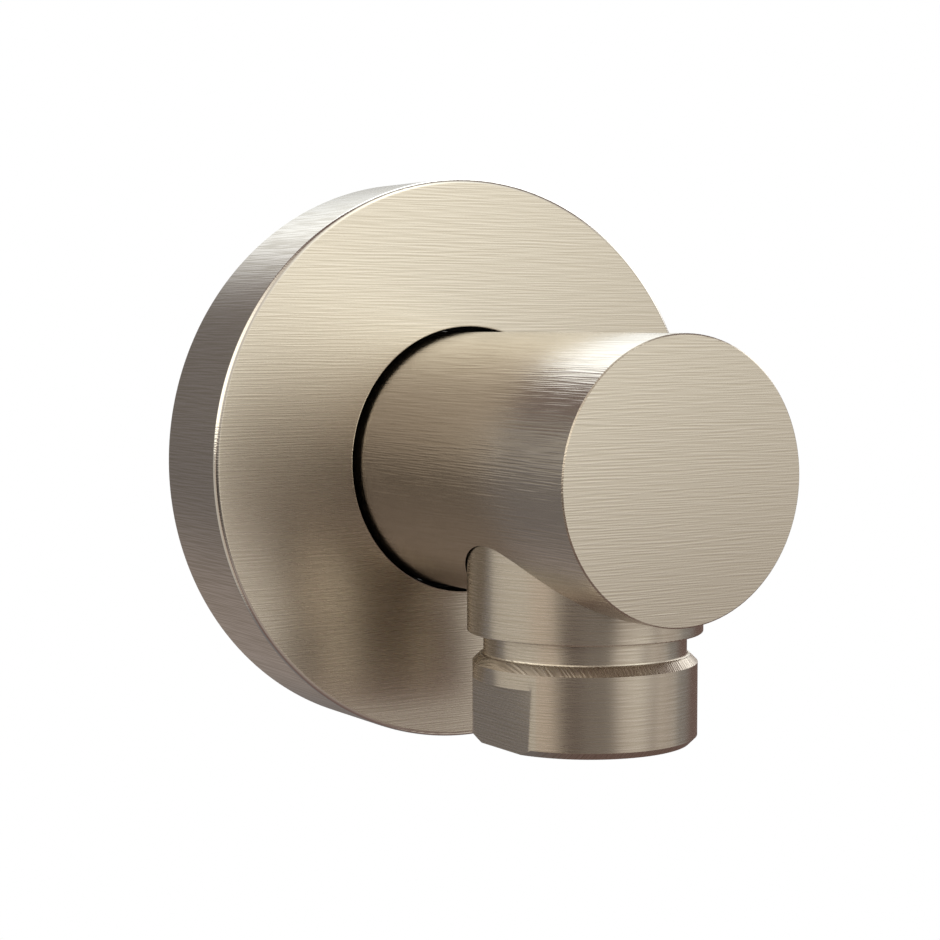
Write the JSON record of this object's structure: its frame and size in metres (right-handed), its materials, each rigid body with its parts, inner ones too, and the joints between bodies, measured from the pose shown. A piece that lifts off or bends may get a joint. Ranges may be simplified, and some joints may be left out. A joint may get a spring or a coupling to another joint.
{
  "type": "wall outlet elbow",
  "caption": "Shower wall outlet elbow with a round rosette, a horizontal barrel and a downward hose connection with a non-return valve inside.",
  "frame": {"origin": "centre of the rosette's back in the plane of the wall, on the axis of the barrel and of the inlet thread", "axes": "+Y into the wall along the inlet thread, -Z down along the hose thread, +X to the right seen from the front"},
  "size_m": [0.07, 0.0722, 0.07],
  "materials": {
    "plated_brass": "brushed warm nickel plate",
    "bare_brass": "plain turned",
    "black_rubber": "matt",
    "white_plastic": "moulded",
    "grey_plastic": "moulded",
    "spring_steel": "drawn wire"
  },
  "bodies": {
    "elbow": {"rosette": "plated_brass", "rosette_wall_seal": "black_rubber", "rosette_o_ring": "black_rubber", "elbow_body": "plated_brass", "inlet_nipple": "bare_brass", "inlet_o_ring": "black_rubber", "outlet_spigot": "plated_brass", "spigot_o_ring": "black_rubber", "outlet_washer": "black_rubber", "valve_housing": "white_plastic", "valve_o_ring": "black_rubber", "valve_guide": "grey_plastic", "valve_spring": "spring_steel"},
    "poppet": {"valve_poppet": "grey_plastic", "poppet_seal": "black_rubber"}
  },
  "joints": [
    {"name": "valve_slide", "type": "slide", "parent": "elbow", "child": "poppet", "axis": [0, 0, -1], "range_m": [0, 0.003], "stiffness_N_per_m": 100, "springref_m": -0.002, "deforming": ["valve_spring"]}
  ]
}
